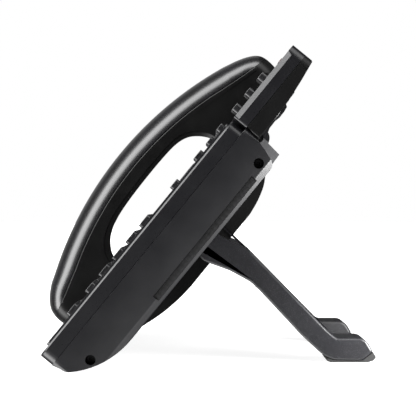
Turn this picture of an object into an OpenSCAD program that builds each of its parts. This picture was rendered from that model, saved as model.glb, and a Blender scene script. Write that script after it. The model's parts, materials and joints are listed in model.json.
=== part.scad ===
// Desk telephone: a wedge body with a lift-off handset, a tilting display module
// and a folding two-legged stand.
//
// Most parts are drawn upright in a body frame: X across, Y from the face to the
// back, Z up the slope, with the face at y = 0. The module lean() tips that frame
// back and stands it on its lower end. The stand is drawn straight in the row frame.

/* [Body] */
// Overall width of the telephone
body_w = 204; // [203:1:206]
// Depth of the lower housing from face to back
body_d = 30.5; // [30.5:0.1:31]
// Depth of the front shell, down to the seam
shell_d = 7.7; // [7.5:0.1:8]
// Wall thickness of the shells
wall = 2.2; // [2:0.1:2.4]
// Width of the handset cradle column
cradle_w = 56; // [55:1:57]
// How far the raised face plate stands proud of the shell
plate_rise = 1.2; // [0.8:0.1:1.4]

/* [Display] */
// Depth of the display module at its lower end
display_d = 16; // [15.8:0.1:16.4]
// Width of the visible screen
screen_w = 98; // [90:1:100]
// Height of the visible screen
screen_h = 34; // [30:1:36]

/* [Handset] */
// Width of the handset
handset_w = 47; // [45:1:48]
// Thickness of the handset's outer shell, from its back to the seam
handset_seam = 9.5; // [9:0.5:10]

/* [Keys] */
// How far the keys stand proud of the shell's face
key_rise = 3.8; // [3:0.1:4]
// Key travel
key_travel = 1.6; // [1:0.1:1.8]
// Width of a dial key
dial_w = 21.5; // [18:0.5:23]
// Height of a dial key
dial_h = 7.8; // [7:0.1:8]
// Spacing of the dial keys across
dial_pitch_x = 28; // [26:0.5:28.5]
// Spacing of the dial keys up the face
dial_pitch_z = 11.1; // [10.8:0.1:11.3]
// Gap round each key
key_gap = 0.35; // [0.3:0.05:0.5]

/* [Stand] */
// Width of each leg
leg_w = 27; // [26:0.5:28]
// Distance from the middle to a leg's outer face
leg_out = 62; // [62:0.5:63]
// Radius of the stand's pivot pins
pin_r = 2.5; // [2:0.1:2.8]

/* [Hidden] */
// How far the face leans back from upright, degrees
lean_angle = 39.3;
// Row-frame place of the lower front corner of the face
corner_y = -79.37;
corner_z = 9.0;

// Lengths up the slope
front_top = 151.5;    // top of the front shell
shell_z0 = -1.2;      // lower end of the front shell
rear_top = 153.5;     // highest point of the rear housing
display_z0 = 152.8;   // lower end of the display module
total_h = 200.6;      // top of the display and of the cradle column
corner_r = 6;         // rounding of the housing's corners in front view
cradle_d = 14.5;      // depth of the cradle column beside the display

half_w = body_w / 2;
cradle_x = cradle_w - half_w;      // right-hand edge of the cradle column
display_x0 = cradle_x + 2;         // left-hand edge of the display

// Levels inside the housing, measured back from the face
flange_y = 2.6;       // front of a key's flange
flange_d = 0.8;       // thickness of a key's flange
flange_w = 0.9;       // how far a flange reaches past its key
rocker_y = 3.4;       // front of a rocking key's flange
mat_y = 6.1;          // front of the rubber mat
stem_y = mat_y - 0.4 - key_travel; // back end of a key's stem
mat_d = 1.0;
board_y = 7.3;        // front of the circuit board
board_d = 1.6;

// Display hinge axis, in the body frame
tilt_y = 15.6;
tilt_z = 156;
barrel_r = 6.1;
hinge_x0 = -2;
hinge_x1 = 60;
cheek_w = 8;
tilt_pin_r = 2.5;
run_gap = 0.05;       // radial clearance of a running fit

// Handset
handset_x0 = -half_w + 4.5;
handset_x1 = handset_x0 + handset_w;
handset_mid = (handset_x0 + handset_x1) / 2;
handset_gap = 0.6;    // gap between the handset's ends and the cradle
ear_z = 174;
mouth_z = 24;
cap_r = 18.5;         // radius of the ear and mouth caps
cup_r = 20;           // radius of the cradle's cups
cup_d = 4.4;          // depth of the cups
cap_d = 3.0;          // how far a cap reaches into its cup

// Stand pivot, in the body frame
pivot_y = 33.5;
pivot_z = 94.5;
root_r = 8;           // rounding of the leg's root
leg_in = leg_out - leg_w;
cover_x = leg_in - 1.5;            // half width of the rear cover
cover_d = 38.6;                    // how far back the cover reaches
ear_d = 3.2;                       // thickness of the cover's side walls
pocket_gap = 1.2;

// Keys: centre across, centre up the face, width, height, rise
dial_names = ["key_1", "key_2", "key_3", "key_4", "key_5", "key_6",
              "key_7", "key_8", "key_9", "key_star", "key_0", "key_hash"];
dial_x0 = 10;
dial_z0 = 83.6;
function dial_place(i) = [dial_x0 + (i % 3) * dial_pitch_x, dial_z0 - floor(i / 3) * dial_pitch_z,
                          dial_w, dial_h, key_rise];
soft_names = ["soft_key_1", "soft_key_2", "soft_key_3", "soft_key_4"];
function soft_place(i) = [-18 + i * 31.5, 145.6, 21, 5, key_rise];
line_names = ["line_key_1", "line_key_2", "line_key_3", "line_key_4", "line_key_5", "line_key_6"];
line_x = [-34, 91];
function line_place(i) = [line_x[i < 3 ? 0 : 1], 178.2 - (i % 3) * 10.1, 12, 5, key_rise];
other_names = ["headset_key", "message_key", "mute_key", "speaker_key", "hold_key", "transfer_key",
               "redial_key"];
right_x = dial_x0 + 2 * dial_pitch_x;
other_places = [[right_x, 108.4, dial_w, 6, key_rise], [right_x, 127.8, dial_w, 6.4, key_rise],
                [right_x, 137.4, dial_w, 5, key_rise], [right_x, 24, dial_w, 7.5, key_rise],
                [dial_x0, 38.8, dial_w, 6.8, key_rise],
                [dial_x0 + dial_pitch_x, 38.8, dial_w, 6.8, key_rise],
                [right_x, 38.8, dial_w, 6.8, key_rise]];
nav_x = dial_x0 + dial_pitch_x / 2;
nav_z = 118;
nav_r = 16;
ok_r = 6.5;
volume_place = [nav_x, 24, dial_pitch_x + dial_w, 7.5, key_rise - 0.4];
key_corner = 1.8;

// ---------- shared shapes ----------

// The body frame, leaned back and stood on its lower end
module lean() {
    translate([0, corner_y, corner_z]) rotate([-lean_angle, 0, 0]) children();
}

// Points along an arc, from angle a0 to a1
function arc(cy, cz, r, a0, a1, steps = 8) =
    [for (i = [0:steps]) let (a = a0 + (a1 - a0) * i / steps) [cy + r * cos(a), cz + r * sin(a)]];

// A smooth curve through the given points (Catmull-Rom), with n steps per span
function curve(p, n = 4) = [
    for (i = [0:len(p) - 2], k = [0:n - 1])
        let (a = p[max(i - 1, 0)], b = p[i], c = p[i + 1], d = p[min(i + 2, len(p) - 1)], t = k / n)
            0.5 * (2 * b + (c - a) * t + (2 * a - 5 * b + 4 * c - d) * t * t
                   + (3 * b - a - 3 * c + d) * t * t * t),
    p[len(p) - 1]];

// A side-view outline of Y and Z, extruded across X
module across(x0, x1) {
    translate([x0, 0, 0]) rotate([90, 0, 90]) linear_extrude(x1 - x0) children();
}

// A front-view outline of X and Z, extruded back from y0 to y1
module back(y0, y1) {
    translate([0, y1, 0]) rotate([90, 0, 0]) linear_extrude(y1 - y0) children();
}

// A rectangle with true round corners
module round_rect(x0, x1, z0, z1, r) {
    translate([x0 + r, z0]) square([x1 - x0 - 2 * r, z1 - z0]);
    translate([x0, z0 + r]) square([x1 - x0, z1 - z0 - 2 * r]);
    for (x = [x0 + r, x1 - r], z = [z0 + r, z1 - r]) translate([x, z]) circle(r, $fn = 32);
}

module box(x0, x1, y0, y1, z0, z1) {
    translate([x0, y0, z0]) cube([x1 - x0, y1 - y0, z1 - z0]);
}

// A cylinder across X, centred on a point of the side view
module rod(x0, x1, y, z, r) {
    translate([x0, y, z]) rotate([0, 90, 0]) cylinder(h = x1 - x0, r = r, $fn = 48);
}

// A cylinder from front to back, centred on a point of the front view
module plug(x, z, y0, y1, r) {
    translate([x, y0, z]) rotate([-90, 0, 0]) cylinder(h = y1 - y0, r = r, $fn = 48);
}

// ---------- keys ----------

// Cap, flange and stem of a key
module key(place) {
    x = place[0];
    z = place[1];
    w = place[2] / 2;
    h = place[3] / 2;
    back(-place[4], flange_y) round_rect(x - w, x + w, z - h, z + h, key_corner);
    box(x - w - flange_w, x + w + flange_w, flange_y, flange_y + flange_d,
        z - h - flange_w, z + h + flange_w);
    plug(x, z, flange_y + flange_d, stem_y, 2.4);
}

// Opening for a key, with its gap all round
module key_opening(place, y0, y1, extra = 0) {
    w = place[2] / 2 + key_gap + extra;
    h = place[3] / 2 + key_gap + extra;
    box(place[0] - w, place[0] + w, y0, y1, place[1] - h, place[1] + h);
}

module body_key_openings(y0, y1, extra = 0) {
    for (i = [0:len(dial_names) - 1]) key_opening(dial_place(i), y0, y1, extra);
    for (i = [0:len(soft_names) - 1]) key_opening(soft_place(i), y0, y1, extra);
    for (p = other_places) key_opening(p, y0, y1, extra);
    key_opening(volume_place, y0, y1, extra + 0.2);
    plug(nav_x, nav_z, y0, y1, nav_r + 0.8 + extra);
}

module dial_key(i) {
    color("#1b1c1e") lean() key(dial_place(i));
}

module soft_key(i) {
    color("#202124") lean() key(soft_place(i));
}

module line_key(i) {
    color("#202124") lean() key(line_place(i));
}

module other_key(i) {
    color("#202124") lean() key(other_places[i]);
}

// Navigation ring, which rocks about its middle
module nav_ring() {
    color("#2a2b2e") lean() difference() {
        union() {
            plug(nav_x, nav_z, -key_rise + 0.6, rocker_y, nav_r);
            plug(nav_x, nav_z, rocker_y, rocker_y + flange_d, nav_r + 2 * flange_w);
        }
        plug(nav_x, nav_z, -key_rise, mat_y, ok_r + 0.9);
    }
}

module ok_key() {
    color("#1b1c1e") lean() plug(nav_x, nav_z, -key_rise, stem_y, ok_r);
}

// Two-ended rocker with a rounded stub underneath
module volume_key() {
    x = volume_place[0];
    z = volume_place[1];
    w = volume_place[2] / 2;
    h = volume_place[3] / 2;
    color("#202124") lean() {
        back(-volume_place[4], rocker_y) round_rect(x - w, x + w, z - h, z + h, key_corner);
        box(x - w - flange_w, x + w + flange_w, rocker_y, rocker_y + flange_d,
            z - h - flange_w, z + h + flange_w);
        rod(x - 0.8, x + 0.8, rocker_y + flange_d, z, 1.4);
    }
}

// ---------- lower housing ----------

// Front half of the housing, with the cradle column on the user's left
module front_shell() {
    inner = half_w - wall;
    column_inner = cradle_x - wall;
    color("#141517") lean() difference() {
        union() {
            back(0, shell_d) round_rect(-half_w, half_w, shell_z0, front_top, corner_r);
            back(0, shell_d) round_rect(-half_w, cradle_x, front_top - 2 * corner_r, total_h, corner_r);
            box(-half_w, cradle_x, 0, shell_d, front_top - 2 * corner_r, total_h - corner_r);
        }
        box(-inner, inner, wall, shell_d + 1, wall, front_top - wall);
        box(-inner, column_inner, wall, shell_d + 1, front_top - wall - 1, total_h - wall);
        body_key_openings(-1, wall + 1, 0.3);
        plug(handset_mid, ear_z, -1, wall + 1, cup_r);
        plug(handset_mid, mouth_z, -1, wall + 1, cup_r);
        for (i = [0:6])
            box(handset_mid - 14, handset_mid + 14, -1, wall + 1, 88 + 5 * i, 90 + 5 * i);
        hinge_clearance();
    }
    color("#141517") lean() {
        cradle_cup(ear_z, true);
        cradle_cup(mouth_z, false);
    }
}

// Cup that takes an end cap of the handset, with a slot for the hook plunger
module cradle_cup(z, slotted) {
    difference() {
        plug(handset_mid, z, 0.2, cup_d + 1.6, cup_r + 1.6);
        plug(handset_mid, z, -1, cup_d, cup_r);
        if (slotted) box(handset_mid - 4.4, handset_mid + 4.4, cup_d - 1, cup_d + 2, z - 2.4, z + 2.4);
    }
}

// Space that the display's barrel and bracket take out of the housings
module hinge_clearance() {
    rod(hinge_x0 - 0.6, hinge_x1 + 0.6, tilt_y, tilt_z, barrel_r + 0.5);
}

// Side outline of the rear housing: a sloping top end and a round lower end
rear_bend_r = 44;
rear_bend_z = 34.2;
rear_bend_a = -46.2;
rear_toe_r = 7;
function rear_outline(inset) = concat(
    [[shell_d, rear_top - inset], [16.2, 151.9 - inset], [23.4, 149.9 - inset], [28.2, 148.3 - inset]],
    arc(body_d - inset - 3, 145 - inset, 3, 60, 0, 4),
    arc(body_d - rear_bend_r, rear_bend_z, rear_bend_r - inset, 0, rear_bend_a, 10),
    arc(body_d - rear_bend_r + (rear_bend_r - rear_toe_r) * cos(rear_bend_a),
        rear_bend_z + (rear_bend_r - rear_toe_r) * sin(rear_bend_a),
        rear_toe_r - inset, rear_bend_a, -90, 6),
    [[shell_d, inset - 0.9]]);

// Plan outline of the rear housing: its sides curve in towards the back
rear_side_r = 80;
rear_side_a = 13.5;
rear_side_y = shell_d + 1;
function rear_plan(inset) = let (
    right = concat([[half_w - inset, shell_d]],
                   arc(half_w - rear_side_r, rear_side_y, rear_side_r - inset, 0, rear_side_a, 6),
                   [[half_w - 5.5 - inset, body_d - inset]]))
    concat(right, [for (i = [len(right) - 1:-1:0]) [-right[i][0], right[i][1]]]);

module rear_solid(inset, front_y) {
    intersection() {
        across(-half_w, half_w) polygon(rear_outline(inset));
        translate([0, 0, -5]) linear_extrude(total_h) polygon(rear_plan(inset));
        back(front_y, body_d + 1)
            round_rect(-half_w + inset, half_w - inset, -2, rear_top + 1, corner_r);
    }
}

// The pocket that a leg's root turns in
module leg_pocket(side, grow) {
    x0 = leg_in - 0.9 - grow;
    x1 = leg_out + 0.9 + grow;
    box(side > 0 ? x0 : -x1, side > 0 ? x1 : -x0, pivot_y - root_r - pocket_gap - grow, body_d + 10,
        pivot_z - 20 - grow, pivot_z + root_r + pocket_gap + grow);
}

// Back half of the housing: a tub with leg pockets, socket windows and screw seats
module rear_housing() {
    color("#26272a") difference() {
        lean() rear_tub();
        base_feet();
    }
}
module rear_tub() {
    difference() {
        union() {
            difference() {
                rear_solid(0, shell_d);
                rear_solid(wall, shell_d - 1);
            }
            intersection() {
                rear_solid(0.4, shell_d + 3);
                union() {
                    leg_pocket(1, wall - 0.4);
                    leg_pocket(-1, wall - 0.4);
                    for (side = [-1, 1], p = screw_places)
                        rod(side * half_w - screw_seat - 3, side * half_w + screw_seat + 3,
                            p[0], p[1], 5);
                    for (x = [-1, 1]) plug(x * 20, 128, body_d - 12, body_d, 4.2);
                }
            }
            column_back();
        }
        leg_pocket(1, 0);
        leg_pocket(-1, 0);
        for (side = [-1, 1], p = screw_places)
            rod(side * half_w - screw_seat, side * half_w + screw_seat, p[0], p[1],
                screw_head_r + 0.25);
        for (p = network_places) box(p[0] - 8.3, p[0] + 8.3, 15, body_d + 1, p[1] - 7.2, p[1] + 7.2);
        for (p = cord_places) box(p[0] - 5.6, p[0] + 5.6, 15, body_d + 1, p[1] - 5.2, p[1] + 5.2);
        for (side = [-1, 1]) strip_seat(side);
        hinge_clearance();
    }
}

// Back of the cradle column, beside the display
module column_back() {
    difference() {
        back(shell_d, cradle_d) round_rect(-half_w, cradle_x, 120, total_h - 0.5, corner_r);
        box(-half_w + wall, cradle_x - wall, shell_d - 1, cradle_d - wall, 110, total_h - 0.5 - wall);
        box(-half_w - 1, cradle_x + 1, shell_d - 1, cradle_d + 1, 110, 147.5);
    }
}

// Screws in the sides: depth from the face and height up the slope
screw_places = [[23.9, 143.2], [21, 13.5]];
screw_head_r = 2.4;
screw_seat = 9;        // depth of the seat under a screw's head, from the side
module side_screws() {
    color("#3a3b3e") lean() for (side = [-1, 1], p = screw_places) difference() {
        rod(side > 0 ? half_w - screw_seat : screw_seat - 2 - half_w,
            side > 0 ? half_w - screw_seat + 2 : screw_seat - half_w, p[0], p[1], screw_head_r);
        rod(side > 0 ? half_w - screw_seat + 1 : screw_seat - 3 - half_w,
            side > 0 ? half_w - screw_seat + 3 : screw_seat - 1 - half_w, p[0], p[1], 0.9);
    }
}

// Ribbed strips let into the sides along the rear edge
strip_y0 = 25.2;
strip_y1 = 28.6;
strip_z0 = 58;
strip_z1 = 136;
strip_x = half_w - 4.1;
module strip_seat(side) {
    x0 = side > 0 ? strip_x - 0.1 : -half_w - 1;
    box(x0, x0 + half_w + 1.1 - strip_x, strip_y0 - 0.1, strip_y1 + 0.1,
        strip_z0 - 0.1, strip_z1 + 0.1);
}
module side_strips() {
    ribs = 26;
    pitch = (strip_z1 - strip_z0) / ribs;
    color("#303134") lean() for (side = [-1, 1]) {
        x = side * (strip_x + 0.5);
        box(x - 0.5, x + 0.5, strip_y0, strip_y1, strip_z0, strip_z1);
        for (i = [0:ribs - 1])
            box(x + side * 0.5 - 0.25, x + side * 0.5 + 0.25, strip_y0 + 0.3, strip_y1 - 0.3,
                strip_z0 + (i + 0.25) * pitch, strip_z0 + (i + 0.75) * pitch);
    }
}

// Raised overlay round the keys
plate_x0 = cradle_x + 1.5;
plate_x1 = half_w - 3;
module face_plate() {
    color("#1a1b1d") lean() difference() {
        back(-plate_rise, 0) round_rect(plate_x0, plate_x1, 5, front_top - 2.6, 3);
        body_key_openings(-plate_rise - 1, 1);
        for (x = [-14, -11, -8]) plug(x, 12, -plate_rise - 1, 1, 0.6);
    }
}

// Bulged centre cover on the back; its side walls hold the stand's pins
cover_z0 = 32;
cover_z1 = 146;
module rear_cover() {
    outer = concat([[body_d - 3, cover_z0 + 8], [body_d - 0.3, cover_z0]],
                   curve([[body_d, cover_z0], [35.3, 47], [37.8, 60], [cover_d, 70]]),
                   curve([[cover_d, 122], [37.2, 130.5], [34.5, 139], [body_d, 145.6]]),
                   [[body_d - 3, cover_z1 - 8]]);
    color("#101113") lean() difference() {
        across(-cover_x, cover_x) polygon(outer);
        difference() {
            across(-cover_x + ear_d, cover_x - ear_d) translate([-wall, 0]) polygon(outer);
            box(-cover_x, cover_x, 0, body_d + 9, 0, cover_z0 + 12);
            box(-cover_x, cover_x, 0, body_d + 9, cover_z1 - 14, total_h);
        }
        box(-cover_x - 1, cover_x + 1, 0, body_d + 0.05, 0, total_h);
        rod(-cover_x - 1, cover_x + 1, pivot_y, pivot_z, pin_r + run_gap);
        for (i = [0:9]) box(-18, 18, cover_d - wall - 1, cover_d + 1, 78 + 4.4 * i, 80 + 4.4 * i);
    }
}

// Circuit board with its main chips and shield
module main_board() {
    color("#1f5a34") lean() {
        difference() {
            box(cradle_x + 4, half_w - 6, board_y, board_y + board_d, 8, 146);
            for (x = [cradle_x + 9, half_w - 11], z = [13, 141])
                plug(x, z, board_y - 1, board_y + board_d + 1, 1.6);
        }
        box(10, 34, board_y + board_d, board_y + board_d + 1.8, 96, 120);
        box(44, 58, board_y + board_d, board_y + board_d + 1.4, 100, 114);
        box(-26, -8, board_y + board_d, board_y + board_d + 3, 40, 62);
        box(64, 76, board_y + board_d, board_y + board_d + 6, 30, 42);
    }
}

// Rubber contact mat that lies on the board under the keys
module keypad_mat() {
    color("#55585c") lean() box(cradle_x + 6, half_w - 8, mat_y, mat_y + mat_d, 12, 144);
}

// Loudspeaker: a frame with a round magnet behind it
module loudspeaker() {
    color("#7b7d80") lean() {
        difference() {
            plug(handset_mid, 104, wall + 0.3, wall + 5, 18);
            plug(handset_mid, 104, wall - 1, wall + 3.4, 16);
        }
        plug(handset_mid, 104, wall + 5, wall + 11, 9);
    }
}

// Sockets, as pairs of separate blocks: centre across and up the slope
network_places = [[-86, 62], [-86, 80]];
cord_places = [[86, 60], [86, 76]];
module socket(x, z, w, h, hole_w, hole_h) {
    difference() {
        box(x - w, x + w, 16, body_d - 0.2, z - h, z + h);
        box(x - hole_w, x + hole_w, 18, body_d + 1, z - hole_h, z + hole_h);
    }
}
module network_sockets() {
    color("#9a9ca0") lean() for (p = network_places) socket(p[0], p[1], 8, 7, 5.9, 4.4);
}
module cord_sockets() {
    color("#0d0e0f") lean() for (p = cord_places) socket(p[0], p[1], 5.4, 5, 3.9, 3.6);
}

// Two rubber feet under the round lower end
foot_back = 15.5;
module base_feet() {
    color("#1d1d1d") for (x = [-76, 76]) translate([x - 10, corner_y + foot_back - 4, 0])
        cube([20, 8, 0.9]);
}

// Plunger that the handset's ear cap holds down
module hook_switch() {
    color("#1b1c1e") lean() {
        box(handset_mid - 4, handset_mid + 4, cap_d + 0.5, cup_d + 4, ear_z - 2, ear_z + 2);
        box(handset_mid - 6.5, handset_mid + 6.5, cup_d + 6, cup_d + 7.2, ear_z - 3.5, ear_z + 3.5);
        box(handset_mid - 2, handset_mid + 2, cup_d + 3, cup_d + 6.2, ear_z - 1.5, ear_z + 1.5);
    }
}

// ---------- display module ----------

// Two-eared hinge bracket, seated on the housing's sloping top
module hinge_bracket() {
    color("#b9bbbd") lean() difference() {
        union() {
            for (x = [hinge_x0, hinge_x1 - cheek_w]) bracket_ear(x);
            across(hinge_x0 + cheek_w, hinge_x1 - cheek_w) polygon([[23.4, 148.1], [23.4, 154.6],
                [29.2, 154.6], [29.6, 148.2]]);
        }
        rear_solid(0, shell_d);
    }
}
module bracket_ear(x) {
    difference() {
        union() {
            rod(x, x + cheek_w, tilt_y, tilt_z, barrel_r - 0.3);
            across(x, x + cheek_w) polygon([[tilt_y, 150.6], [tilt_y, tilt_z + 1.6],
                [29.8, 156], [30.2, 148.4], [24, 148.2]]);
        }
        rod(x - 1, x + cheek_w + 1, tilt_y, tilt_z, tilt_pin_r + run_gap);
    }
}

// Front frame of the display, with openings for the screen and line keys
screen_x0 = (display_x0 + half_w) / 2 - screen_w / 2;
screen_x1 = screen_x0 + screen_w;
screen_z0 = 176.6 - screen_h / 2;
screen_z1 = screen_z0 + screen_h;
display_y0 = -0.4;
lamp_x0 = 82;
lamp_x1 = 96;
lamp_z0 = 189.2;
lamp_z1 = 192;
module display_face() {
    round_rect(display_x0, half_w, display_z0, display_z0 + 20, 1.5);
    round_rect(display_x0, half_w, display_z0 + 8, total_h, corner_r);
    translate([display_x0, display_z0 + 6]) square([half_w - display_x0, 20]);
}
module display_bezel() {
    color("#17181b") lean() difference() {
        back(display_y0, shell_d) display_face();
        box(display_x0 + wall, half_w - wall, 2, shell_d + 1, display_z0 + 1.2, total_h - wall);
        box(screen_x0, screen_x1, -1, 3, screen_z0, screen_z1);
        for (i = [0:5]) key_opening(line_place(i), -1, 3, 0.1);
        box(lamp_x0 - 0.2, lamp_x1 + 0.2, -1, 3, lamp_z0 - 0.2, lamp_z1 + 0.2);
    }
}

// Rear cover of the display, thicker at its lower end, which clears the housing's sloping top
back_z0 = rear_top + 0.4;          // its lower end at the seam
back_z1 = rear_top - 1.1;          // its lower end at the back
function display_outline(inset) = [
    [shell_d + 0.05, total_h - inset], [11.6, total_h - inset], [12.4 - inset, total_h - 0.9 - inset],
    [14.2 - inset, 188.1], [display_d - 0.4 - inset, 177], [display_d - inset, 166],
    [display_d - inset, back_z1 + inset + 0.4], [display_d - 0.5 - inset, back_z1 + inset],
    [shell_d + 0.05, back_z0 + inset]];
module display_back() {
    color("#121315") lean() difference() {
        intersection() {
            across(display_x0, half_w) polygon(display_outline(0));
            back(0, display_d + 1) display_face();
        }
        difference() {
            across(display_x0 + wall, half_w - wall) polygon(display_outline(1.8));
            box(hinge_x0 - 2.5, hinge_x1 + 2.5, 0, display_d + 1, back_z1, tilt_z + barrel_r + 2.4);
        }
        hinge_clearance();
        box(hinge_x0 - 0.6, hinge_x1 + 0.6, tilt_y - barrel_r - 0.5, display_d + 1,
            display_z0 - 1, tilt_z);
        for (i = [0:7]) for (x = [-26, 70])
            box(x, x + 20, display_d - 3, display_d + 1, 158 + 2.6 * i, 159.2 + 2.6 * i);
    }
}

// Clear window in front of the screen
module display_lens() {
    color("#0a0c10", 0.6) lean()
        box(screen_x0 + 0.1, screen_x1 - 0.1, -0.2, 1.2, screen_z0 + 0.1, screen_z1 - 0.1);
}

// Screen panel with its frame and board
module lcd_panel() {
    color("#2c3440") lean() {
        box(screen_x0 - 3, screen_x1 + 3, 2.2, 5, screen_z0 - 1, screen_z1 + 2);
        box(screen_x0 + 6, screen_x1 - 6, 5, 6.4, screen_z0 + 2, screen_z1 - 1);
    }
}

// Barrel with its two stub pins, and the arm that carries the display
module hinge_arm() {
    bx0 = hinge_x0 + cheek_w + 0.3;
    bx1 = hinge_x1 - cheek_w - 0.3;
    color("#1a1b1d") lean() {
        rod(bx0, bx1, tilt_y, tilt_z, barrel_r);
        rod(hinge_x0 + 0.8, hinge_x1 - 0.8, tilt_y, tilt_z, tilt_pin_r);
        across(bx0 + 2, bx1 - 2) polygon([[tilt_y, tilt_z + 2], [tilt_y + 3.2, tilt_z + 3],
            [display_d + 0.8, 164.5], [display_d + 0.6, 173], [display_d + 1.3, 176.4],
            [display_d + 0.8, 179.4], [display_d - 0.6, 180.4], [display_d - 0.2, 177],
            [display_d + 0.05, 166.2], [display_d + 0.05, 163.5]]);
    }
}

// Message lamp bar at the display's top right
module message_lamp() {
    color("#c8382c") lean() {
        back(-0.9, 2.6) round_rect(lamp_x0, lamp_x1, lamp_z0, lamp_z1, 1.2);
    }
}

// ---------- handset ----------

// Side outline of the handset's back: a long arc with round ends
handset_arc_r = 225;
handset_arc_y = 179.5;
handset_arc_z = 101;
handset_arc_a = 21.5;
function handset_outer(inset) = let (r = handset_arc_r - inset) concat(
    curve([[-5, 203.6 - inset], [-13, 204.3 - inset], [-18.2 + inset * 0.4, 202.4 - inset],
           [-22.4 + inset * 0.7, 197.4 - inset * 0.8], [-26 + inset * 0.9, 191 - inset * 0.4]], 3),
    arc(handset_arc_y, handset_arc_z, r, 180 - handset_arc_a, 180 + handset_arc_a, 16),
    curve([[-28.4 + inset * 0.9, 13.4 + inset * 0.4], [-23.8 + inset * 0.7, 5.8 + inset * 0.7],
           [-18.6 + inset * 0.4, 0.2 + inset], [-12.9, -2.2 + inset], [-6, -2.6 + inset]], 3));

// Grip side of the handset, from the ear block down to the mouth block
function handset_inner() = curve([[-4, 44.8], [-10, 46], [-14.6, 49], [-19.8, 55.4], [-23.4, 66],
    [-25, 80], [-25.6, 98], [-25.5, 115], [-24.6, 128], [-21.9, 136.4], [-17.4, 141.6], [-11, 145.6],
    [-4, 147.2]], 3);

// Whole side outline, closed along the ends that face the cradle
function handset_outline() = concat(
    [[-handset_gap, 147.8], [-handset_gap, 201]], handset_outer(0),
    [[-handset_gap, -0.8], [-handset_gap, 44]], handset_inner());

module handset_plan() {
    round_rect(handset_x0, handset_x1, -2.7, 204.4, 9);
}

// Region behind the seam, a band that follows the handset's back
module handset_band(gap) {
    polygon(concat([[-60, 210], [-60, -10]],
        [[-12 + gap, -10], [-14 + gap, 4]],
        arc(handset_arc_y, handset_arc_z, handset_arc_r - handset_seam - gap,
            180 + handset_arc_a - 1.5, 180 - handset_arc_a + 2.5, 16),
        [[-14 + gap, 196], [-12 + gap, 210]]));
}

// Outer shell of the handset
module handset_back() {
    color("#101113") lean() difference() {
        intersection() {
            across(handset_x0, handset_x1) intersection() {
                polygon(handset_outline());
                handset_band(0);
            }
            back(-60, 0) handset_plan();
        }
        across(handset_x0 + wall, handset_x1 - wall) difference() {
            handset_band(0.1);
            polygon(concat([[-60, 210], [-8, 210]], handset_outer(wall), [[-8, -10], [-60, -10]]));
        }
    }
}

// Grip-side shell with the ear and mouth blocks
module handset_front() {
    color("#17181a") lean() difference() {
        intersection() {
            across(handset_x0, handset_x1) difference() {
                polygon(handset_outline());
                handset_band(0.1);
            }
            back(-60, 0) handset_plan();
        }
        box(handset_x0 + wall, handset_x1 - wall, -22, -handset_gap - wall, 149, 196);
        box(handset_x0 + wall, handset_x1 - wall, -20, -handset_gap - wall, 14, 45);
        plug(handset_mid, ear_z, -8, 1, cap_r - 1);
        plug(handset_mid, mouth_z, -8, 1, cap_r - 3);
        box(handset_mid - 5, handset_mid + 5, -13.5, -5.5, -3, 15);
    }
}

// Perforated cap: a disc with rings of holes
module end_cap(z, seat_r, rings) {
    difference() {
        union() {
            plug(handset_mid, z, -handset_gap + 0.05, cap_d, cap_r);
            plug(handset_mid, z, -5, 0, seat_r);
        }
        plug(handset_mid, z, -6, cap_d - 1.6, seat_r - 1.6);
        for (ring = rings, k = [0:ring[1] - 1])
            plug(handset_mid + ring[0] * cos(360 * k / ring[1]), z + ring[0] * sin(360 * k / ring[1]),
                 0, cap_d + 1, 0.8);
    }
}
module ear_cap() {
    color("#1b1c1e") lean() end_cap(ear_z, cap_r - 1.1, [[3.5, 6], [7, 12]]);
}
module mouth_cap() {
    color("#1b1c1e") lean() end_cap(mouth_z, cap_r - 3.1, [[3, 5]]);
}

module ear_receiver() {
    color("#8d8f92") lean() plug(handset_mid, ear_z, -11.5, -5.1, 14);
}
// Cord socket in the handset's lower end
module handset_jack() {
    color("#0d0e0f") lean() difference() {
        box(handset_mid - 4.9, handset_mid + 4.9, -13.4, -5.6, 1.2, 14);
        box(handset_mid - 3.9, handset_mid + 3.9, -12.4, -6.6, -1, 12);
    }
}

// ---------- stand ----------

// Pivot of the stand in the row frame
stand_y = corner_y + pivot_y * cos(lean_angle) + pivot_z * sin(lean_angle);
stand_z = corner_z - pivot_y * sin(lean_angle) + pivot_z * cos(lean_angle);

// Side outline of a leg, from its root out to the toe and back, in the row frame
leg_top = [[15.2, 65.1], [21, 62.6], [26.8, 58.9], [32.2, 53.5], [42.9, 42.7], [53.6, 31.7],
           [64.3, 20.5], [69, 15.9], [72.9, 12.9]];
leg_toe = [[85.9, 12.9], [88.5, 11.5], [90.6, 8.2], [92, 5.6], [86.2, 1.1]];
leg_bottom = [[71.6, 1.3], [67.9, 2.7], [63.7, 5.4], [53, 15.4], [42.4, 26.6], [31.7, 38.2],
              [29.4, 40.3], [26.2, 43.2], [15.5, 49.1]];
// The leg's outline was measured from the lower end's corner, so it shifts with it
leg_shift = corner_y + 79.75;
module leg_profile() {
    translate([leg_shift, 0]) {
        polygon(concat(curve(leg_top, 3), leg_toe, curve(leg_bottom, 3)));
    }
    polygon([[stand_y + root_r * cos(72), stand_z + root_r * sin(72)],
             [15.2 + leg_shift, 65.1], [15.5 + leg_shift, 49.1],
             [stand_y + root_r * cos(-118), stand_z + root_r * sin(-118)]]);
}
module stand_frame() {
    color("#2d2e31") {
        for (side = [-1, 1]) {
            x0 = side > 0 ? leg_in : -leg_out;
            across(x0, x0 + leg_w) leg_profile();
            rod(x0, x0 + leg_w, stand_y, stand_z, root_r);
            px0 = side > 0 ? leg_in - 5 : -leg_in - 1;
            rod(px0, px0 + 6, stand_y, stand_z, pin_r);
        }
        across(-leg_in - 1, leg_in + 1) translate([leg_shift, 0])
            polygon([[27.5, 56.6], [60, 23.4], [57.6, 21], [24.6, 54]]);
    }
}

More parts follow.
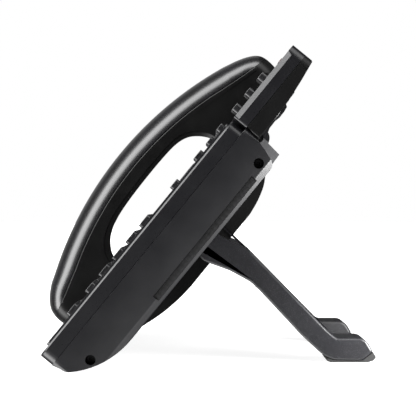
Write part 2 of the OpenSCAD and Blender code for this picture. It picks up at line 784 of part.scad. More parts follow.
// Rubber pad and toe of each foot
module stand_pads() {
    color("#0f0f10") for (x0 = [leg_in, -leg_out]) across(x0 + 1, x0 + leg_w - 1)
        translate([leg_shift, 0])
            polygon([[67.6, 2.7], [71.6, 1.2], [86.2, 1.0], [92.1, 5.5], [93.8, 2.8], [92.4, 0.9],
                     [89.4, 0], [69.5, 0], [67.2, 1]]);
}

// ---------- the assembly ----------

front_shell();
rear_housing();
face_plate();
rear_cover();
side_strips();
side_screws();
main_board();
keypad_mat();
loudspeaker();
network_sockets();
cord_sockets();
hinge_bracket();
base_feet();
hook_switch();
display_bezel();
display_back();
display_lens();
lcd_panel();
hinge_arm();
message_lamp();
for (i = [0:5]) line_key(i);
for (i = [0:3]) soft_key(i);
for (i = [0:11]) dial_key(i);
nav_ring();
ok_key();
volume_key();
for (i = [0:6]) other_key(i);
handset_back();
handset_front();
ear_cap();
mouth_cap();
ear_receiver();
handset_jack();
stand_frame();
stand_pads();
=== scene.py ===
import json
import math

import bmesh
import bpy
from mathutils import Matrix, Vector


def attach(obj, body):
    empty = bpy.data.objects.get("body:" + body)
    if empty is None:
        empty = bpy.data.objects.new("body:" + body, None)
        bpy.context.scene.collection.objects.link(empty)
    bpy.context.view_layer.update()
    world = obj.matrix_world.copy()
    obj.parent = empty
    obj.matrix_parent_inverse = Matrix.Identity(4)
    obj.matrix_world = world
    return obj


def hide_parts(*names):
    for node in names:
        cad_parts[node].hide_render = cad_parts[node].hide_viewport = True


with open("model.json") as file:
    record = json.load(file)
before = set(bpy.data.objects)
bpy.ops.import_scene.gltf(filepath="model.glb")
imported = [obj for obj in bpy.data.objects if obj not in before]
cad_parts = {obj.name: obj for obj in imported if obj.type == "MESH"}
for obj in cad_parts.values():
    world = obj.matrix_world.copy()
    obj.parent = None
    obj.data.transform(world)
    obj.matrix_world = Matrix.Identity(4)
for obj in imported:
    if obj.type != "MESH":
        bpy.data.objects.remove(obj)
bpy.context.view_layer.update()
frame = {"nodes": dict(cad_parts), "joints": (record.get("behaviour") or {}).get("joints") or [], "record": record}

MM = 0.001

# ---------- the body frame: x across, y from the face to the back, z up the slope ----------

LEAN = math.radians(39.3)
TILT_AXIS = (15.6, 156.0)          # the display's hinge in the body frame, y and z, mm
JOINTS = {j["name"]: j for j in frame["joints"]}
tilt_pos = JOINTS["display_tilt"]["pos_m"]
CORNER_Y = tilt_pos[1] / MM - TILT_AXIS[0] * math.cos(LEAN) - TILT_AXIS[1] * math.sin(LEAN)
CORNER_Z = tilt_pos[2] / MM + TILT_AXIS[0] * math.sin(LEAN) - TILT_AXIS[1] * math.cos(LEAN)
BODY_FRAME = (Matrix.Translation((0, CORNER_Y * MM, CORNER_Z * MM))
              @ Matrix.Rotation(-LEAN, 4, "X"))
BODY_INVERSE = BODY_FRAME.inverted()


def lean(x, y, z):
    """A point of the body frame in mm, in the row frame in metres."""
    return BODY_FRAME @ Vector((x * MM, y * MM, z * MM))


def unlean(point):
    """A point of the row frame in metres, in the body frame in mm."""
    return BODY_INVERSE @ point / MM


# ---------- materials ----------

def new_material(name):
    mat = bpy.data.materials.new(name)
    mat.use_nodes = True
    tree = mat.node_tree
    shader = tree.nodes["Principled BSDF"]
    return mat, tree, shader


def noise(tree, scale, detail=4.0, rough=0.55, coords=None):
    node = tree.nodes.new("ShaderNodeTexNoise")
    node.inputs["Scale"].default_value = scale
    node.inputs["Detail"].default_value = detail
    node.inputs["Roughness"].default_value = rough
    tree.links.new(coords.outputs["Object"], node.inputs["Vector"])
    return node


def spread(tree, source, low, high):
    """Maps a noise, whose values lie about the middle, onto low..high."""
    node = tree.nodes.new("ShaderNodeMapRange")
    node.inputs["From Min"].default_value = 0.3
    node.inputs["From Max"].default_value = 0.7
    node.inputs["To Min"].default_value = low
    node.inputs["To Max"].default_value = high
    tree.links.new(source, node.inputs["Value"])
    return node.outputs["Result"]


def plastic(name, dark, light, rough, rough_swing=0.05, grain=2600, depth=0.03, haze=60,
            spark=None, metallic=0.0, coat=0.0, ior=1.5):
    """Moulded plastic, rubber or cast metal: fine grain in bump, haze in colour and roughness."""
    mat, tree, shader = new_material(name)
    coords = tree.nodes.new("ShaderNodeTexCoord")
    broad = noise(tree, haze, 3.0, 0.5, coords)
    fine = noise(tree, grain, 2.0, 0.6, coords)
    tint = tree.nodes.new("ShaderNodeMix")
    tint.data_type = "RGBA"
    tint.inputs["A"].default_value = (*dark, 1)
    tint.inputs["B"].default_value = (*light, 1)
    tree.links.new(spread(tree, broad.outputs["Fac"], 0, 1), tint.inputs["Factor"])
    colour = tint.outputs["Result"]
    if spark:
        speck = noise(tree, grain * 0.7, 1.0, 0.4, coords)
        limit = tree.nodes.new("ShaderNodeMapRange")
        limit.inputs["From Min"].default_value = 0.62
        limit.inputs["From Max"].default_value = 0.72
        tree.links.new(speck.outputs["Fac"], limit.inputs["Value"])
        glint = tree.nodes.new("ShaderNodeMix")
        glint.data_type = "RGBA"
        glint.inputs["B"].default_value = (*spark, 1)
        tree.links.new(limit.outputs["Result"], glint.inputs["Factor"])
        tree.links.new(colour, glint.inputs["A"])
        colour = glint.outputs["Result"]
    tree.links.new(colour, shader.inputs["Base Color"])
    tree.links.new(spread(tree, fine.outputs["Fac"], rough - rough_swing, rough + rough_swing),
                   shader.inputs["Roughness"])
    bump = tree.nodes.new("ShaderNodeBump")
    bump.inputs["Strength"].default_value = 0.5
    bump.inputs["Distance"].default_value = depth * MM
    tree.links.new(fine.outputs["Fac"], bump.inputs["Height"])
    tree.links.new(bump.outputs["Normal"], shader.inputs["Normal"])
    shader.inputs["Metallic"].default_value = metallic
    shader.inputs["Coat Weight"].default_value = coat
    shader.inputs["Coat Roughness"].default_value = 0.12
    shader.inputs["IOR"].default_value = ior
    return mat


SHELL = plastic("shell_plastic", (0.004, 0.004, 0.005), (0.007, 0.007, 0.008), 0.32, ior=1.42)
HOUSING = plastic("housing_plastic", (0.004, 0.004, 0.005), (0.008, 0.008, 0.009), 0.37,
                  ior=1.41)
COVER = plastic("cover_plastic", (0.002, 0.002, 0.002), (0.004, 0.004, 0.004), 0.42, ior=1.25)
PLATE = plastic("plate_plastic", (0.006, 0.006, 0.007), (0.010, 0.010, 0.011), 0.32)
HANDSET = plastic("handset_plastic", (0.003, 0.003, 0.003), (0.005, 0.005, 0.006), 0.28,
                  rough_swing=0.03, depth=0.012, ior=1.52)
GRIP = plastic("handset_grip_plastic", (0.003, 0.003, 0.003), (0.006, 0.006, 0.006), 0.34,
               depth=0.02, ior=1.27)
KEY = plastic("key_plastic", (0.006, 0.006, 0.007), (0.011, 0.011, 0.012), 0.34, depth=0.02)
NAV = plastic("nav_plastic", (0.05, 0.05, 0.055), (0.075, 0.075, 0.08), 0.30, metallic=0.4)
STRIP = plastic("strip_plastic", (0.008, 0.008, 0.008), (0.014, 0.014, 0.015), 0.5, ior=1.4)
ARM = plastic("arm_plastic", (0.004, 0.004, 0.005), (0.008, 0.008, 0.009), 0.38, ior=1.4)
RUBBER = plastic("rubber", (0.005, 0.005, 0.005), (0.009, 0.009, 0.009), 0.7, depth=0.06, ior=1.35)
STAND = plastic("stand_plastic", (0.004, 0.004, 0.005), (0.008, 0.008, 0.009), 0.36, grain=5200,
                depth=0.04, spark=(0.04, 0.04, 0.045), ior=1.36)
METAL = plastic("cast_metal", (0.085, 0.085, 0.088), (0.11, 0.11, 0.114), 0.42, grain=1800,
                depth=0.05, metallic=0.15)
STEEL = plastic("steel", (0.42, 0.42, 0.43), (0.55, 0.55, 0.57), 0.30, metallic=1.0, depth=0.02)
BLACK_STEEL = plastic("black_steel", (0.010, 0.010, 0.010), (0.018, 0.018, 0.019), 0.34,
                      metallic=0.8, depth=0.02)
SOCKET = plastic("socket_plastic", (0.004, 0.004, 0.004), (0.007, 0.007, 0.007), 0.35)
BOARD = plastic("board", (0.010, 0.075, 0.03), (0.016, 0.10, 0.045), 0.4, grain=900)
PANEL = plastic("screen_panel", (0.10, 0.125, 0.15), (0.115, 0.14, 0.165), 0.5, grain=3800)
LAMP = plastic("lamp_plastic", (0.04, 0.005, 0.004), (0.06, 0.007, 0.006), 0.25, coat=0.4)
INK = plastic("legend_ink", (0.62, 0.62, 0.62), (0.72, 0.72, 0.72), 0.5)


def lens_material():
    mat = plastic("screen_window", (0.010, 0.011, 0.013), (0.014, 0.015, 0.018), 0.08,
                  rough_swing=0.02, depth=0.004)
    mat.node_tree.nodes["Principled BSDF"].inputs["Coat Weight"].default_value = 0.5
    return mat


LENS = lens_material()
BRACKET_SHADE_FROM = 157.4         # up the slope: painted shade, the ears round the hinge pin are black where they sit in the slot


def paint_shade_above(mat, height):
    """Paints shade into a material's colour: black above a height up the slope of the body."""
    tree = mat.node_tree
    shader = tree.nodes["Principled BSDF"]
    colour = shader.inputs["Base Color"].links[0].from_socket
    coords = tree.nodes.new("ShaderNodeTexCoord")
    along = tree.nodes.new("ShaderNodeVectorMath")
    along.operation = "DOT_PRODUCT"
    slope = Vector((0, math.sin(LEAN), math.cos(LEAN)))
    along.inputs[1].default_value = slope
    tree.links.new(coords.outputs["Object"], along.inputs[0])
    level = slope.dot(lean(0, 0, height))
    step = tree.nodes.new("ShaderNodeMapRange")
    step.inputs["From Min"].default_value = level
    step.inputs["From Max"].default_value = level + 0.2 * MM
    tree.links.new(along.outputs["Value"], step.inputs["Value"])
    mix = tree.nodes.new("ShaderNodeMix")
    mix.data_type = "RGBA"
    # the painted shade's colour
    mix.inputs["B"].default_value = (0.006, 0.006, 0.007, 1)
    tree.links.new(step.outputs["Result"], mix.inputs["Factor"])
    tree.links.new(colour, mix.inputs["A"])
    tree.links.new(mix.outputs["Result"], shader.inputs["Base Color"])


# painted shade: the bracket's ears in the slot between display and body are black
paint_shade_above(METAL, BRACKET_SHADE_FROM)

# ---------- mesh helpers ----------

def new_object(name, points, faces):
    mesh = bpy.data.meshes.new(name)
    mesh.from_pydata([tuple(p) for p in points], [], faces)
    mesh.update()
    obj = bpy.data.objects.new(name, mesh)
    bpy.context.scene.collection.objects.link(obj)
    return obj


WELD_WITHIN = 0.004 * MM
FLAT_WITHIN = 1.5                  # facets closer than this many degrees are one flat face
BEVEL_FROM = 28                    # edges steeper than this many degrees are rounded
CRISP_FROM = 30                    # next to a rim, edges steeper than this shade crisply


def soften(obj, width, segments=3, rim=None, rim_width=1.0, rim_steps=4):
    """Merges a CAD node's flat facets and rounds its edges, all of them by width, or those
    that the rim test picks by rim_width."""
    weld = obj.modifiers.new("weld", "WELD")
    weld.merge_threshold = WELD_WITHIN
    flat = obj.modifiers.new("flat", "DECIMATE")
    flat.decimate_type = "DISSOLVE"
    flat.angle_limit = math.radians(FLAT_WITHIN)
    if rim:
        group = obj.vertex_groups.new(name="rim")
        group.add([v.index for v in obj.data.vertices if rim(*unlean(v.co))], 1, "REPLACE")
        edge = obj.modifiers.new("rim", "BEVEL")
        edge.width = rim_width * MM
        edge.segments = rim_steps
        edge.limit_method = "VGROUP"
        edge.vertex_group = "rim"
        edge.use_clamp_overlap = False
        crisp = obj.modifiers.new("crisp", "EDGE_SPLIT")
        crisp.split_angle = math.radians(CRISP_FROM)
    if width:
        edge = obj.modifiers.new("edge", "BEVEL")
        edge.width = width * MM
        edge.segments = segments
        edge.limit_method = "ANGLE"
        edge.angle_limit = math.radians(BEVEL_FROM)
        edge.use_clamp_overlap = True
    even = obj.modifiers.new("even", "WEIGHTED_NORMAL")
    even.keep_sharp = True


def dress(node, material, width=0.4, segments=3, **rim):
    """Gives a CAD node its material and rounded edges."""
    obj = frame["nodes"][node]
    smooth(obj, material)
    soften(obj, width, segments, **rim)
    return obj


def apply_modifiers(obj):
    """Makes the modified mesh the object's own."""
    graph = bpy.context.evaluated_depsgraph_get()
    graph.update()
    final = bpy.data.meshes.new_from_object(obj.evaluated_get(graph))
    obj.modifiers.clear()
    obj.data = final


def boolean(obj, tools, operation="DIFFERENCE"):
    for tool in tools:
        cut = obj.modifiers.new("cut", "BOOLEAN")
        cut.operation = operation
        cut.solver = "EXACT"
        cut.object = tool
        apply_modifiers(obj)


def discard(objects):
    for obj in objects:
        bpy.data.objects.remove(obj)


def smooth(obj, material):
    """Gives an object one material and smooth shading."""
    obj.data.materials.clear()
    obj.data.materials.append(material)
    for face in obj.data.polygons:
        face.use_smooth = True


def prism(name, sections):
    """Side outlines of (y, z) in the body frame, in mm, one for each x, joined into a solid."""
    count = len(sections[0][1])
    points = [lean(x, y, z) for x, outline in sections for y, z in outline]
    last = (len(sections) - 1) * count
    faces = [tuple(range(count)), tuple(range(last + count - 1, last - 1, -1))]
    for row in range(len(sections) - 1):
        for i in range(count):
            k = (i + 1) % count
            a, b = row * count, (row + 1) * count
            faces.append((a + i, b + i, b + k, a + k))
    obj = new_object(name, points, faces)
    tidy_normals(obj)
    return obj


def mark_sharp(obj, degrees):
    """Keeps the shading crisp across edges steeper than the angle."""
    mesh = bmesh.new()
    mesh.from_mesh(obj.data)
    for edge in mesh.edges:
        if len(edge.link_faces) == 2:
            edge.smooth = edge.calc_face_angle(0) < math.radians(degrees)
    mesh.to_mesh(obj.data)
    mesh.free()


def tidy_normals(obj):
    mesh = bmesh.new()
    mesh.from_mesh(obj.data)
    bmesh.ops.recalc_face_normals(mesh, faces=mesh.faces)
    mesh.to_mesh(obj.data)
    mesh.free()


def curve_points(controls, steps=6):
    """A smooth curve through the control points (Catmull-Rom)."""
    out = []
    last = len(controls) - 1
    for i in range(last):
        a, b = controls[max(i - 1, 0)], controls[i]
        c, d = controls[i + 1], controls[min(i + 2, last)]
        for k in range(steps):
            t = k / steps
            out.append(tuple(0.5 * (2 * b[j] + (c[j] - a[j]) * t
                                    + (2 * a[j] - 5 * b[j] + 4 * c[j] - d[j]) * t * t
                                    + (3 * b[j] - a[j] - 3 * c[j] + d[j]) * t ** 3)
                             for j in (0, 1)))
    out.append(controls[last])
    return out


def arc_points(centre, radius, start, end, steps):
    out = []
    for i in range(steps + 1):
        a = math.radians(start + (end - start) * i / steps)
        out.append((centre[0] + radius * math.cos(a), centre[1] + radius * math.sin(a)))
    return out


# ---------- handset: a shell with an arched back, split along its seam ----------

HANDSET_MID = -74.0
HANDSET_HALF = 23.5
ARC_CENTRE = (184.5, 100.7)
ARC_RADIUS = 232.0
ARC_HALF_ANGLE = 21.5
SEAM_DEPTH = 13.3
SEAM_GAP = 0.12
SEAM_STEP = 0.3                    # the back stands a little inside the grip
SEAM_CHAMFER = 0.5
LOW_END_Z = -4.4                   # where the flat faces begin and end, up the slope
GRIP_LOW_Z = 43.4
GRIP_HIGH_Z = 148.4
HIGH_END_Z = 205.0
ROWS_ACROSS = 14                   # rows of faces from the middle of the handset to a side
JACK_HALF = 4.9
CRADLE_LEVEL = -0.6                # the end blocks' flat faces, just clear of the cradle


def handset_outline():
    """Closed side outline, each point with how deep and how square its edges are rounded, and
    the first and last point of each flat end face."""
    back_round, end_round, grip_round = (14.0, 2.0), (12.0, 2.1), (1.2, 5.0)
    lower = [(CRADLE_LEVEL, LOW_END_Z), (-6.8, -6.1), (-13.9, -5.7), (-19.7, -3.2), (-25.1, 2.6),
             (-29.6, 10.4)]
    upper = [(-27.8, 193.4), (-23.9, 200.1), (-19.3, 205.2), (-14.0, 207.2), (-6.0, 206.8),
             (CRADLE_LEVEL, HIGH_END_Z)]
    grip = [(CRADLE_LEVEL, GRIP_HIGH_Z), (-4, 147.2), (-11, 145.6), (-17.4, 141.6), (-21.9, 136.4),
            (-24.6, 128), (-25.5, 115), (-25.6, 98), (-25, 80), (-23.4, 66), (-19.8, 55.4),
            (-14.6, 49), (-10, 46), (-4, 44.6), (CRADLE_LEVEL, GRIP_LOW_Z)]
    pieces = []
    for p in curve_points(lower, 5)[:-1]:
        pieces.append((p, end_round))
    for p in arc_points(ARC_CENTRE, ARC_RADIUS, 180 + ARC_HALF_ANGLE, 180 - ARC_HALF_ANGLE, 72):
        pieces.append((p, back_round))
    for p in curve_points(upper, 5):
        pieces.append((p, end_round))
    top_face = [len(pieces) - 1]
    for i in range(1, 14):
        pieces.append(((CRADLE_LEVEL, HIGH_END_Z - i * (HIGH_END_Z - GRIP_HIGH_Z) / 14),
                       end_round if i < 8 else grip_round))
    top_face.append(len(pieces))
    for p in curve_points(grip, 5):
        pieces.append((p, grip_round))
    low_face = [len(pieces) - 1]
    for i in range(1, 12):
        pieces.append(((CRADLE_LEVEL, GRIP_LOW_Z - i * (GRIP_LOW_Z - LOW_END_Z) / 12),
                       grip_round if i < 6 else end_round))
    low_face.append(len(pieces))
    return pieces, (top_face, low_face)


def smooth_ring(values, rounds=5):
    """Blends each value with its neighbours round a closed ring."""
    for _ in range(rounds):
        count = len(values)
        values = [tuple(0.25 * values[i - 1][j] + 0.5 * values[i][j]
                        + 0.25 * values[(i + 1) % count][j] for j in (0, 1))
                  for i in range(count)]
    return values


def handset_solid(half):
    """The side outline drawn in towards each side, so that the long edges are round."""
    pieces, flat_faces = handset_outline()
    outline = [p for p, _ in pieces]
    rounding = smooth_ring([r for _, r in pieces])
    count = len(outline)
    inward = []
    for i in range(count):
        a, b = outline[i - 1], outline[(i + 1) % count]
        length = math.hypot(b[0] - a[0], b[1] - a[1])
        inward.append(((b[1] - a[1]) / length, -(b[0] - a[0]) / length))
    inward = smooth_ring(inward, 2)
    for first, last in flat_faces:
        last %= count
        along = math.copysign(1, outline[last][1] - outline[first][1])
        inward[first], inward[last] = (0, along), (0, -along)
    across = [math.sin(math.radians(90 * k / ROWS_ACROSS))
              for k in range(-ROWS_ACROSS, ROWS_ACROSS + 1)]
    points = []
    for u in across:
        ring = []
        for (y, z), (ny, nz), (depth, power) in zip(outline, inward, rounding):
            inset = depth * (1 - (1 - abs(u) ** power) ** (1 / power))
            ring.append((y + ny * inset, z + nz * inset))
        for first, last in flat_faces:
            a, b = ring[first], ring[last % count]
            for i in range(first + 1, last):
                t = (i - first) / (last - first)
                ring[i] = (a[0] + (b[0] - a[0]) * t, a[1] + (b[1] - a[1]) * t)
        points += [lean(HANDSET_MID + u * half, y, z) for y, z in ring]
    faces = []
    rows = len(across)
    for row in range(rows - 1):
        for i in range(count):
            k = (i + 1) % count
            faces.append((row * count + i, row * count + k, (row + 1) * count + k,
                          (row + 1) * count + i))
    faces.append(tuple(range(count)))
    faces.append(tuple((rows - 1) * count + i for i in range(count - 1, -1, -1)))
    obj = new_object("handset_solid", points, faces)
    tidy_normals(obj)
    return obj


def seam_band(gap):
    """Outline of the region behind the handset's seam, moved out by the gap."""
    depth = ARC_RADIUS - SEAM_DEPTH - gap
    lower = [(-10.6 + gap, -14), (-12.4 + gap, -5), (-13.8 + gap, 1.1), (-17 + gap, 12)]
    upper = [(-17 + gap, 189), (-13.2 + gap, 203.5), (-12 + gap, 208), (-11 + gap, 215)]
    middle = arc_points(ARC_CENTRE, depth, 180 + 19.5, 180 - 19.5, 60)
    return [(-70, 215), (-70, -14)] + curve_points(lower + middle + upper, 2)


def seam_tool(name, side, half):
    """Region behind the seam; its edge slants at the handset's sides, to leave a V groove."""
    deep = HANDSET_HALF - SEAM_CHAMFER
    narrow = seam_band(side * SEAM_GAP)
    wide = seam_band(side * (SEAM_GAP + half - deep))
    places = [(-half, wide), (-deep, narrow), (deep, narrow), (half, wide)]
    return prism(name, [(HANDSET_MID + x, outline) for x, outline in places])


def build_handset():
    half = HANDSET_HALF + 2
    back = handset_solid(HANDSET_HALF - SEAM_STEP)
    front = handset_solid(HANDSET_HALF)
    back.name, front.name = "handset_back_shell", "handset_grip_shell"
    keep = seam_tool("seam_keep", -1, half)
    drop = seam_tool("seam_drop", 1, half)
    hole = [(-13.4, -12), (-13.4, 2), (-5.6, 2), (-5.6, -12)]
    jack = prism("jack_hole", [(HANDSET_MID - JACK_HALF, hole), (HANDSET_MID + JACK_HALF, hole)])
    boolean(back, [keep], "INTERSECT")
    boolean(front, [drop, jack])
    discard([keep, drop, jack])
    for obj, material, node, slot in ((back, HANDSET, "handset_back", "handset"),
                                      (front, GRIP, "handset_front", "handset_grip")):
        smooth(obj, material)
        mark_sharp(obj, 35)
        even = obj.modifiers.new("even", "WEIGHTED_NORMAL")
        even.keep_sharp = True
        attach(obj, "handset")
        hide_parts(node)


build_handset()

# ---------- CAD nodes that stay ----------

bodies = frame["record"]["behaviour"]["bodies"]
KEY_NODES = [n for name, members in bodies.items() if name.endswith("_press") for n in members]

# Each rim test takes a corner in the body frame, mm, and says whether its edge is rounded.

ON_FACE = 0.1                      # a corner this close to a face lies on it
BODY_HALF = 102.0
CORNER = 6.0
FACE_LEVEL = 0.02                  # just behind the front faces
SHELL_TOP_FROM = 140.0
KEY_TOP_LEVEL = -3.0
DISPLAY_LEFT = -46.0
DISPLAY_SEAM = 7.8
DISPLAY_BACK_FROM = 13.0
DISPLAY_TOP_FROM = 195.0
HOUSING_SEAM = 7.75
HOUSING_TOP_FROM = 150.0
HOUSING_SIDE_FROM = 95.0
SLOPE_EDGE = 27.38
BACK_EDGE_FROM = 30.45
LEG_OUT = 62.0
LEG_IN = 35.0
LEG_RIM_TOP = 59.5                 # height above the desk


def on_front_rim(x, y, z):
    """The outer edge of the shell's face."""
    if y >= FACE_LEVEL or abs(x) <= BODY_HALF - CORNER:
        return False
    return abs(x) > BODY_HALF - ON_FACE / 2 or z < CORNER or z > SHELL_TOP_FROM


def on_key_top(x, y, z):
    """The edges of a key's top face."""
    return y < KEY_TOP_LEVEL


def on_display_side(x):
    return x > BODY_HALF - ON_FACE or x < DISPLAY_LEFT + ON_FACE


def on_display_rim(x, y, z):
    """The long sides of the display's face."""
    return y < FACE_LEVEL and on_display_side(x)


def on_display_edge(x, y, z):
    """The display back's outer edges, at the seam and at the back."""
    at_back = y > DISPLAY_BACK_FROM and z < DISPLAY_TOP_FROM
    return on_display_side(x) and (y < DISPLAY_SEAM or at_back)


def on_housing_edge(x, y, z):
    """The seam edge, and the two edges of the slope along the back."""
    if y < HOUSING_SEAM:
        return abs(x) > BODY_HALF - ON_FACE or z > HOUSING_TOP_FROM
    return abs(x) > HOUSING_SIDE_FROM and (abs(y - SLOPE_EDGE) < 0.06 or y > BACK_EDGE_FROM)


def on_leg_side(x, y, z):
    """The edges of the legs' four flat sides, except at the top of the root."""
    on_side = abs(x) > LEG_OUT - ON_FACE or abs(abs(x) - LEG_IN) < ON_FACE
    return on_side and lean(x, y, z).z / MM < LEG_RIM_TOP


dress("front_shell", SHELL, 0, rim=on_front_rim, rim_width=0.8, rim_steps=1)
dress("rear_housing", HOUSING, 0, rim=on_housing_edge, rim_width=0.5, rim_steps=2)
dress("face_plate", PLATE, 0.3)
dress("rear_cover", COVER, 0.5)
dress("side_strips", STRIP, 0.12, 2)
dress("side_screws", BLACK_STEEL, 0.2)
dress("main_board", BOARD, 0.1)
dress("keypad_mat", RUBBER, 0.1)
dress("loudspeaker", STEEL, 0.3)
dress("network_sockets", STEEL, 0.2)
dress("cord_sockets", SOCKET, 0.2)
bracket = dress("hinge_bracket", METAL, 0.7)
# painted shade: the bracket's rounded edges take the dark arm plastic, a dark outline along its edges
bracket.data.materials.append(ARM)
bracket.modifiers["edge"].material = 1
dress("base_feet", RUBBER, 0.2)
dress("hook_switch", ARM, 0.3)
dress("display_bezel", SHELL, 0, rim=on_display_rim, rim_width=2.6, rim_steps=1)
dress("display_back", COVER, 0, rim=on_display_edge, rim_width=0.5, rim_steps=2)
dress("display_lens", LENS, 0.15)
dress("lcd_panel", PANEL, 0.1)
dress("hinge_arm", ARM, 0.4)
dress("message_lamp", LAMP, 0.3)
dress("nav_ring", NAV, 0.8, 4)
dress("volume_key", KEY, 0, rim=on_key_top, rim_width=0.3)
for key_node in KEY_NODES:
    dress(key_node, KEY, 0, rim=on_key_top, rim_width=0.3)
dress("ear_cap", GRIP, 0.5)
dress("mouth_cap", GRIP, 0.5)
dress("ear_receiver", STEEL, 0.3)
dress("handset_jack", SOCKET, 0.2)
dress("stand_frame", STAND, 0, rim=on_leg_side, rim_width=1.5)
dress("stand_pads", RUBBER, 0.4)

# ---------- dial numbers: thin inlays on the key tops ----------

DIGIT_W = 2.3
DIGIT_H = 3.9
STROKE = 0.5
INLAY_LOW = 0.05
INLAY_HIGH = 0.10
STROKES = {
    "key_1": [[(0.1, 0.8), (0.5, 1), (0.5, 0)]],
    "key_2": [[(0, 0.85), (0.25, 1), (0.8, 1), (1, 0.8), (1, 0.6), (0, 0), (1, 0)]],
    "key_3": [[(0, 1), (1, 1), (0.45, 0.6), (1, 0.4), (1, 0.15), (0.75, 0), (0.2, 0), (0, 0.12)]],
    "key_4": [[(0.75, 0), (0.75, 1), (0, 0.32), (1, 0.32)]],
    "key_5": [[(0.95, 1), (0.1, 1), (0, 0.55), (0.7, 0.6), (1, 0.42), (1, 0.18), (0.75, 0),
               (0, 0.05)]],
    "key_6": [[(0.8, 1), (0.2, 0.7), (0, 0.35), (0.2, 0), (0.8, 0), (1, 0.2), (1, 0.4), (0.8, 0.55),
               (0.1, 0.5)]],
    "key_7": [[(0, 1), (1, 1), (0.35, 0)]],
    "key_8": [[(0.3, 0.52), (0, 0.72), (0.2, 1), (0.8, 1), (1, 0.72), (0.7, 0.52), (0.3, 0.52),
               (0, 0.3), (0.2, 0), (0.8, 0), (1, 0.3), (0.7, 0.52)]],
    "key_9": [[(0.2, 0), (0.8, 0.3), (1, 0.65), (0.8, 1), (0.2, 1), (0, 0.8), (0, 0.6), (0.2, 0.45),
               (0.9, 0.5)]],
    "key_0": [[(0.25, 0), (0, 0.25), (0, 0.75), (0.25, 1), (0.75, 1), (1, 0.75), (1, 0.25),
               (0.75, 0), (0.25, 0)]],
    "key_star": [[(0.5, 0.2), (0.5, 0.8)], [(0.05, 0.35), (0.95, 0.65)],
                 [(0.05, 0.65), (0.95, 0.35)]],
    "key_hash": [[(0.3, 0.1), (0.4, 0.9)], [(0.65, 0.1), (0.75, 0.9)], [(0, 0.35), (1, 0.35)],
                 [(0.05, 0.65), (1.05, 0.65)]],
}


def key_face(node):
    """Middle of a key's top face in the body frame, and its height y."""
    places = [unlean(v.co) for v in frame["nodes"][node].data.vertices]
    top = min(p.y for p in places)
    face = [p for p in places if p.y < top + 0.1]
    return ((min(p.x for p in face) + max(p.x for p in face)) / 2, top,
            (min(p.z for p in face) + max(p.z for p in face)) / 2)


def inlay(node, lines):
    """Ribbons along the strokes of one figure, sunk a little into the key."""
    cx, top, cz = key_face(node)
    points, faces = [], []
    for line in lines:
        path = [(cx + (u - 0.5) * DIGIT_W, cz + (v - 0.5) * DIGIT_H) for u, v in line]
        for (x0, z0), (x1, z1) in zip(path, path[1:]):
            length = math.hypot(x1 - x0, z1 - z0)
            ax, az = (x1 - x0) / length * STROKE / 2, (z1 - z0) / length * STROKE / 2
            ring = [(x0 - ax - az, z0 - az + ax), (x0 - ax + az, z0 - az - ax),
                    (x1 + ax + az, z1 + az - ax), (x1 + ax - az, z1 + az + ax)]
            start = len(points)
            points += [lean(x, top - INLAY_HIGH, z) for x, z in ring]
            points += [lean(x, top + INLAY_LOW, z) for x, z in ring]
            faces += [tuple(start + i for i in quad) for quad in
                      ((0, 1, 2, 3), (7, 6, 5, 4), (0, 4, 5, 1), (1, 5, 6, 2), (2, 6, 7, 3),
                       (3, 7, 4, 0))]
    obj = new_object(node + "_figure", points, faces)
    tidy_normals(obj)
    obj.data.materials.append(INK)
    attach(obj, node + "_press")


for key_node, lines in STROKES.items():
    inlay(key_node, lines)

# ---------- stage, lights and camera ----------

FLOOR_HALF = 6.0
FLOOR_GREY = 0.3
FLOOR_GLOW = 0.9


def floor_material(name, rough):
    mat, tree, shader = new_material(name)
    coords = tree.nodes.new("ShaderNodeTexCoord")
    fine = noise(tree, 90, 3.0, 0.5, coords)
    tree.links.new(spread(tree, fine.outputs["Fac"], rough - 0.03, rough + 0.03),
                   shader.inputs["Roughness"])
    shader.inputs["Base Color"].default_value = (FLOOR_GREY, FLOOR_GREY, FLOOR_GREY, 1)
    shader.inputs["Emission Color"].default_value = (1, 1, 1, 1)
    shader.inputs["Emission Strength"].default_value = FLOOR_GLOW
    return mat


FLOOR_CORNERS = [(x * FLOOR_HALF, y * FLOOR_HALF, 0)
                 for x, y in ((-1, -1), (1, -1), (1, 1), (-1, 1))]
floor = new_object("floor", FLOOR_CORNERS, [(0, 1, 2, 3)])
floor.data.materials.append(floor_material("floor_paper", 0.7))
floor.visible_glossy = False       # the studio's own table shows in reflections instead


FOOT_LIGHT_PLACE = (0.108, 0.16, 0.04)
FOOT_LIGHT_TARGET = (0.062, 0.085, 0.012)
FOOT_LIGHT_SIZE = 0.05
FOOT_LIGHT_WATTS = 1.0


def area_light(name, place, target, size, watts):
    data = bpy.data.lights.new(name, "AREA")
    data.shape = "RECTANGLE"
    data.size = data.size_y = size
    data.energy = watts
    obj = bpy.data.objects.new(name, data)
    obj.location = place
    aim = Vector(target) - Vector(place)
    obj.rotation_euler = aim.to_track_quat("-Z", "Y").to_euler()
    bpy.context.scene.collection.objects.link(obj)


area_light("foot_softbox", FOOT_LIGHT_PLACE, FOOT_LIGHT_TARGET, FOOT_LIGHT_SIZE, FOOT_LIGHT_WATTS)

world = bpy.data.worlds.new("studio")
bpy.context.scene.world = world
world.use_nodes = True

# The studio as the object sees it: a strip light arching over it across the view, strongest in
# front of the handset's back, a white table below, a wall on the handset's side, a dim room, and
# darkness on the other side, where the camera stands. The camera itself sees plain white.
STRIP_POWER = 12.0
STRIP_LOW = 0.6
TABLE = 1.1
FAR_WALL = 0.45
ROOM = 0.03
BEHIND_CAMERA = 0.0
TOWARD_STRIP = (0, -0.97, 0.25)


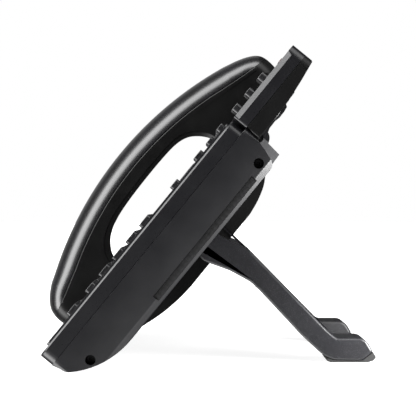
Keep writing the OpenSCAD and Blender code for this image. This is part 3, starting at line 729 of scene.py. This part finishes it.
def map_range(tree, source, from_min, from_max, to_min, to_max, shape="SMOOTHSTEP"):
    node = tree.nodes.new("ShaderNodeMapRange")
    node.interpolation_type = shape
    node.inputs["From Min"].default_value = from_min
    node.inputs["From Max"].default_value = from_max
    node.inputs["To Min"].default_value = to_min
    node.inputs["To Max"].default_value = to_max
    tree.links.new(source, node.inputs["Value"])
    return node.outputs["Result"]


def combine(tree, operation, a, b):
    node = tree.nodes.new("ShaderNodeMath")
    node.operation = operation
    tree.links.new(a, node.inputs[0])
    tree.links.new(b, node.inputs[1])
    return node.outputs["Value"]


def studio_world(tree):
    coords = tree.nodes.new("ShaderNodeTexCoord")
    direction = coords.outputs["Generated"]
    split = tree.nodes.new("ShaderNodeSeparateXYZ")
    tree.links.new(direction, split.inputs["Vector"])
    side = split.outputs["X"]
    toward = tree.nodes.new("ShaderNodeVectorMath")
    toward.operation = "DOT_PRODUCT"
    toward.inputs[1].default_value = TOWARD_STRIP
    tree.links.new(direction, toward.inputs[0])
    rise = map_range(tree, side, -0.22, 0.06, 0, 1)
    fall = map_range(tree, side, 0.48, 0.66, 1, 0)
    ahead = toward.outputs["Value"]
    power = map_range(tree, ahead, -0.9, 0.95, STRIP_LOW, STRIP_POWER, "LINEAR")
    strip = combine(tree, "MULTIPLY", combine(tree, "MULTIPLY", rise, fall), power)
    below = map_range(tree, split.outputs["Z"], -0.3, -0.05, TABLE, 0)
    near_side = map_range(tree, side, -0.5, -0.1, 0, 1)
    table = combine(tree, "MULTIPLY", below, near_side)
    far = map_range(tree, side, -0.95, -0.6, FAR_WALL, 0)
    far = combine(tree, "MULTIPLY", far, map_range(tree, ahead, -0.02, 0.08, 0, 1))
    room = map_range(tree, side, 0.3, 0.8, ROOM, BEHIND_CAMERA)
    seen_by_object = combine(tree, "ADD", strip, room)
    for light in (table, far):
        seen_by_object = combine(tree, "ADD", seen_by_object, light)
    seen = tree.nodes.new("ShaderNodeLightPath")
    pick = tree.nodes.new("ShaderNodeMix")
    pick.inputs["B"].default_value = 1.0
    tree.links.new(seen.outputs["Is Camera Ray"], pick.inputs["Factor"])
    tree.links.new(seen_by_object, pick.inputs["A"])
    tree.links.new(pick.outputs["Result"], tree.nodes["Background"].inputs["Strength"])
    tree.nodes["Background"].inputs["Color"].default_value = (1, 1, 1, 1)


studio_world(world.node_tree)
bpy.context.scene.view_settings.view_transform = "Standard"

EYE_X = 0.712
EYE_FROM_CORNER = (83.75, 73.35)   # behind and above the body's lower front corner, mm
SENSOR = 36
LENS_LENGTH = 105.6

camera_data = bpy.data.cameras.new("camera")
camera_data.sensor_width = SENSOR
camera_data.lens = LENS_LENGTH
camera_data.clip_start = 0.01
camera = bpy.data.objects.new("camera", camera_data)
camera.location = (EYE_X, (CORNER_Y + EYE_FROM_CORNER[0]) * MM,
                   (CORNER_Z + EYE_FROM_CORNER[1]) * MM)
camera.rotation_euler = (math.pi / 2, 0, math.pi / 2)
bpy.context.scene.collection.objects.link(camera)
bpy.context.scene.camera = camera

# ---------- final update ---

bpy.context.view_layer.update()
